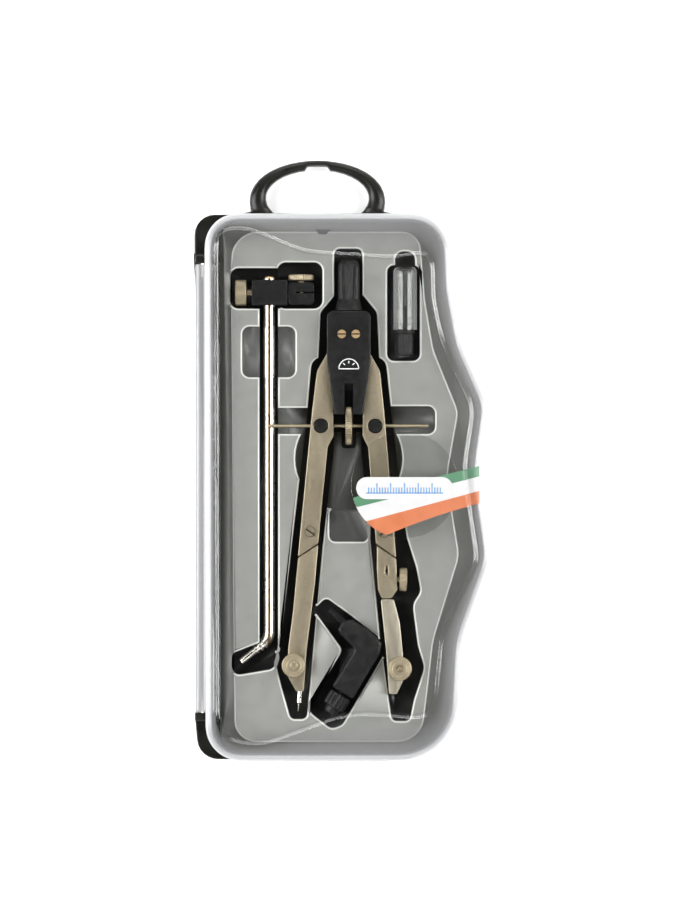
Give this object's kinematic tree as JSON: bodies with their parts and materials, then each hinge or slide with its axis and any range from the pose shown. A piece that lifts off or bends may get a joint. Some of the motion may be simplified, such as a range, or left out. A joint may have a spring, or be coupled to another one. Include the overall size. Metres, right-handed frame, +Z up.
{
  "type": "drafting compass set",
  "caption": "Drafting compass set: a wheel-bow compass, extension bar, lead tube and pen adapter in a flat case with a clear hinged lid and a hanging loop.",
  "frame": {"origin": "centre of the case's footprint, on the face it lies on", "axes": "+Z up out of the tray, +Y towards the hanging loop, +X away from the lid's hinge"},
  "size_m": [0.108, 0.2196, 0.0241],
  "materials": {
    "black_plastic": "moulded black plastic, satin to gloss",
    "tray_grey": "silver-grey painted plastic, black in the pockets",
    "clear_plastic": "clear moulded plastic",
    "champagne": "satin champagne-coloured plating",
    "brass": "turned brass",
    "steel": "polished nickel",
    "graphite": "graphite lead",
    "label": "printed sticker with plain bands"
  },
  "bodies": {
    "case": {"case_base": "black_plastic", "tray": "tray_grey", "hinge_pin_upper": "steel", "hinge_pin_lower": "steel"},
    "lid": {"case_lid": "clear_plastic", "lid_label": "label"},
    "compass_head": {"grip": "black_plastic", "head_front": "black_plastic", "head_back": "black_plastic", "pivot_screw_left": "brass", "pivot_screw_right": "brass"},
    "left_leg": {"leg_upper_left": "champagne", "knee_screw_left": "champagne"},
    "right_leg": {"leg_upper_right": "champagne", "knee_screw_right": "champagne"},
    "left_trunnion": {"trunnion_left": "black_plastic"},
    "right_trunnion": {"trunnion_right": "black_plastic"},
    "left_foot": {"leg_lower_left": "champagne", "needle": "steel"},
    "needle_clamp": {"needle_clamp_screw": "champagne"},
    "right_foot": {"leg_lower_right": "champagne", "lead_insert": "champagne", "lead": "graphite"},
    "lead_clamp": {"lead_clamp_screw": "champagne"},
    "insert_clamp": {"insert_clamp_screw": "champagne"},
    "spindle": {"spindle": "steel"},
    "wheel": {"wheel": "champagne"},
    "bar": {"extension_bar": "steel", "bar_block": "black_plastic", "bar_socket": "black_plastic"},
    "bar_clamp": {"bar_clamp_screw": "champagne"},
    "bar_socket_clamp": {"bar_socket_screw": "champagne"},
    "tube": {"lead_tube": "clear_plastic", "spare_lead_1": "graphite", "spare_lead_2": "graphite", "spare_lead_3": "graphite"},
    "tube_cap": {"tube_cap": "black_plastic"},
    "adapter": {"pen_adapter": "black_plastic"},
    "adapter_clamp": {"adapter_screw": "black_plastic"}
  },
  "joints": [
    {"name": "lid_hinge", "type": "hinge", "parent": "case", "child": "lid", "pos_m": [-0.0503, -0.01, 0.0128], "axis": [0, -1, 0], "range_deg": [0, 110]},
    {"name": "compass_lift", "type": "slide", "parent": "case", "child": "compass_head", "axis": [0, 0, 1], "range_m": [0, 0.045]},
    {"name": "left_leg_swing", "type": "hinge", "parent": "compass_head", "child": "left_leg", "pos_m": [0.00015, 0.0457, 0.013], "axis": [0, 0, -1], "range_deg": [0, 20]},
    {"name": "right_leg_swing", "type": "hinge", "parent": "compass_head", "child": "right_leg", "pos_m": [0.00525, 0.0457, 0.013], "axis": [0, 0, 1], "range_deg": [0, 20]},
    {"name": "left_trunnion_turn", "type": "hinge", "parent": "left_leg", "child": "left_trunnion", "pos_m": [-0.0075, 0.0123, 0.013], "axis": [0, 0, 1], "range_deg": [0, 20]},
    {"name": "right_trunnion_turn", "type": "hinge", "parent": "right_leg", "child": "right_trunnion", "pos_m": [0.01237, 0.01218, 0.013], "axis": [0, 0, -1], "range_deg": [0, 20]},
    {"name": "left_knee", "type": "hinge", "parent": "left_leg", "child": "left_foot", "pos_m": [-0.0114, -0.0264, 0.013], "axis": [0, 0, 1], "range_deg": [0, 20]},
    {"name": "right_knee", "type": "hinge", "parent": "right_leg", "child": "right_foot", "pos_m": [0.01567, -0.02657, 0.013], "axis": [0, 0, -1], "range_deg": [0, 20]},
    {"name": "spindle_rise", "type": "slide", "parent": "compass_head", "child": "spindle", "axis": [0, 1, 0], "range_m": [0, 0.00435]},
    {"name": "wheel_spin", "type": "hinge", "parent": "spindle", "child": "wheel", "pos_m": [0.0027, 0.0123, 0.013], "axis": [1, 0, 0], "range_deg": [0, 5637]},
    {"name": "bar_lift", "type": "slide", "parent": "case", "child": "bar", "axis": [0, 0, 1], "range_m": [0, 0.014]},
    {"name": "tube_lift", "type": "slide", "parent": "case", "child": "tube", "axis": [0, 0, 1], "range_m": [0, 0.04]},
    {"name": "adapter_lift", "type": "slide", "parent": "case", "child": "adapter", "axis": [0, 0, 1], "range_m": [0, 0.03]},
    {"name": "needle_clamp_turn", "type": "hinge", "parent": "left_foot", "child": "needle_clamp", "pos_m": [-0.0174, -0.0751, 0.015], "axis": [0, 0, 1], "continuous": true},
    {"name": "lead_clamp_turn", "type": "hinge", "parent": "right_foot", "child": "lead_clamp", "pos_m": [0.02129, -0.07627, 0.015], "axis": [0, 0, 1], "continuous": true},
    {"name": "insert_clamp_turn", "type": "hinge", "parent": "right_foot", "child": "insert_clamp", "pos_m": [0.02119, -0.04386, 0.013], "axis": [0.9999, -0.0157, 0], "continuous": true},
    {"name": "bar_clamp_turn", "type": "hinge", "parent": "bar", "child": "bar_clamp", "pos_m": [-0.035, 0.061, 0.0096], "axis": [1, 0, 0], "continuous": true},
    {"name": "bar_socket_clamp_turn", "type": "hinge", "parent": "bar", "child": "bar_socket_clamp", "pos_m": [-0.01475, 0.0655, 0.0096], "axis": [0, 1, 0], "continuous": true},
    {"name": "tube_cap_turn", "type": "hinge", "parent": "tube", "child": "tube_cap", "pos_m": [0.0233, 0.042, 0.013], "axis": [0, 1, 0], "continuous": true},
    {"name": "adapter_clamp_turn", "type": "hinge", "parent": "adapter", "child": "adapter_clamp", "pos_m": [0.0002, -0.0853, 0.013], "axis": [-0.5225, -0.8526, 0], "continuous": true}
  ],
  "couplings": [
    {"joint": "compass_lift", "follows": "lid_hinge", "m_per_rad": 0.023437},
    {"joint": "left_leg_swing", "follows": "lid_hinge", "ratio": 0.1818},
    {"joint": "right_leg_swing", "follows": "lid_hinge", "ratio": 0.1818},
    {"joint": "left_trunnion_turn", "follows": "lid_hinge", "ratio": 0.1818},
    {"joint": "right_trunnion_turn", "follows": "lid_hinge", "ratio": 0.1818},
    {"joint": "left_knee", "follows": "lid_hinge", "ratio": 0.1818},
    {"joint": "right_knee", "follows": "lid_hinge", "ratio": 0.1818},
    {"joint": "spindle_rise", "follows": "lid_hinge", "m_per_rad": 0.0022656},
    {"joint": "wheel_spin", "follows": "lid_hinge", "ratio": 51.24},
    {"joint": "bar_lift", "follows": "lid_hinge", "m_per_rad": 0.0072915},
    {"joint": "tube_lift", "follows": "lid_hinge", "m_per_rad": 0.020833},
    {"joint": "adapter_lift", "follows": "lid_hinge", "m_per_rad": 0.015625}
  ]
}
